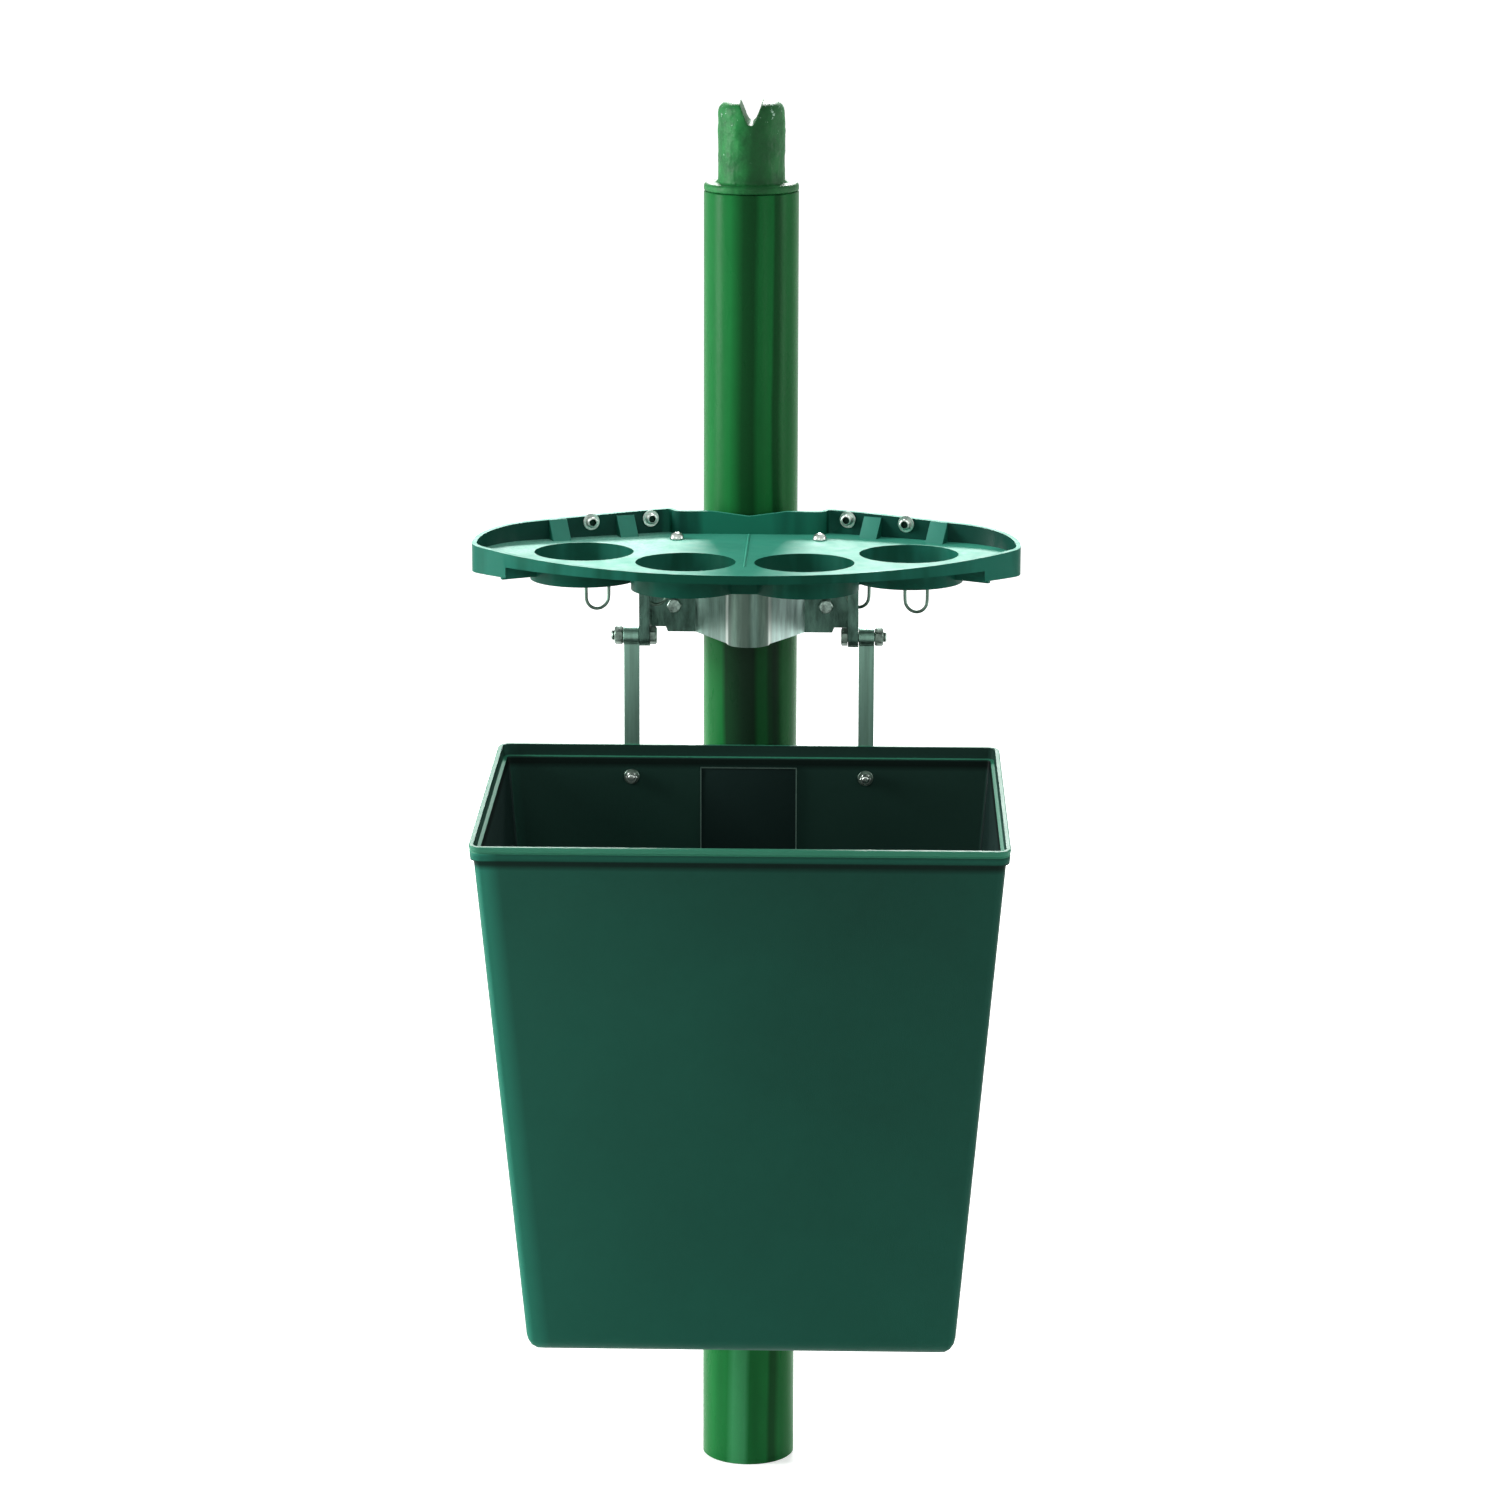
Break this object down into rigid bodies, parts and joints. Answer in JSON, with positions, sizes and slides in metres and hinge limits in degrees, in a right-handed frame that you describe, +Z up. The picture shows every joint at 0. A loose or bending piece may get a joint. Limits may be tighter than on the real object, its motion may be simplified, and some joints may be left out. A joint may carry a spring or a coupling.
{
  "type": "court caddy on net post",
  "caption": "Net post carrying a clamp bracket with a cup-holder tray, wire hooks and a tapered litter basket that swings on two hanger straps.",
  "frame": {"origin": "the post's centre at its foot, at court level", "axes": "+Z up along the post, -Y towards the front, where the basket hangs, +X to the right seen from the front"},
  "size_m": [0.413, 0.3414, 1.0888],
  "materials": {
    "post_enamel": "gloss green enamel",
    "cast_aluminium": "satin",
    "strap_metal": "satin",
    "hook_wire": "bright zinc",
    "fastener_steel": "bright",
    "tray_plastic": "semi-gloss green",
    "basket_plastic": "satin dark green"
  },
  "bodies": {
    "post_and_tray": {"post_tube": "post_enamel", "post_cap": "post_enamel", "clamp_saddle": "cast_aluminium", "rear_clamp": "cast_aluminium", "clamp_bolt_lower_left": "fastener_steel", "clamp_bolt_lower_right": "fastener_steel", "clamp_bolt_upper_left": "fastener_steel", "clamp_bolt_upper_right": "fastener_steel", "clamp_nut_lower_left": "fastener_steel", "clamp_nut_lower_right": "fastener_steel", "clamp_nut_upper_left": "fastener_steel", "clamp_nut_upper_right": "fastener_steel", "cup_tray": "tray_plastic", "tray_bolt_left": "fastener_steel", "tray_bolt_right": "fastener_steel", "tray_nut_left": "fastener_steel", "tray_nut_right": "fastener_steel", "hook_inner_left": "hook_wire", "hook_inner_right": "hook_wire", "hook_outer_left": "hook_wire", "hook_outer_right": "hook_wire", "hook_screw_inner_left": "fastener_steel", "hook_screw_inner_right": "fastener_steel", "hook_screw_outer_left": "fastener_steel", "hook_screw_outer_right": "fastener_steel", "hook_washer_inner_left": "fastener_steel", "hook_washer_inner_right": "fastener_steel", "hook_washer_outer_left": "fastener_steel", "hook_washer_outer_right": "fastener_steel", "hook_nut_inner_left": "fastener_steel", "hook_nut_inner_right": "fastener_steel", "hook_nut_outer_left": "fastener_steel", "hook_nut_outer_right": "fastener_steel", "pivot_bolt_left": "fastener_steel", "pivot_bolt_right": "fastener_steel", "pivot_nut_left": "fastener_steel", "pivot_nut_right": "fastener_steel"},
    "basket": {"litter_basket": "basket_plastic", "hanger_strap_left": "strap_metal", "hanger_strap_right": "strap_metal", "basket_screw_left": "fastener_steel", "basket_screw_right": "fastener_steel", "basket_washer_left": "fastener_steel", "basket_washer_right": "fastener_steel", "basket_nut_left": "fastener_steel", "basket_nut_right": "fastener_steel"}
  },
  "joints": [
    {"name": "basket_swing", "type": "hinge", "parent": "post_and_tray", "child": "basket", "pos_m": [0, -0.0406, 0.68], "axis": [-1, 0, 0], "range_deg": [0, 60]}
  ]
}
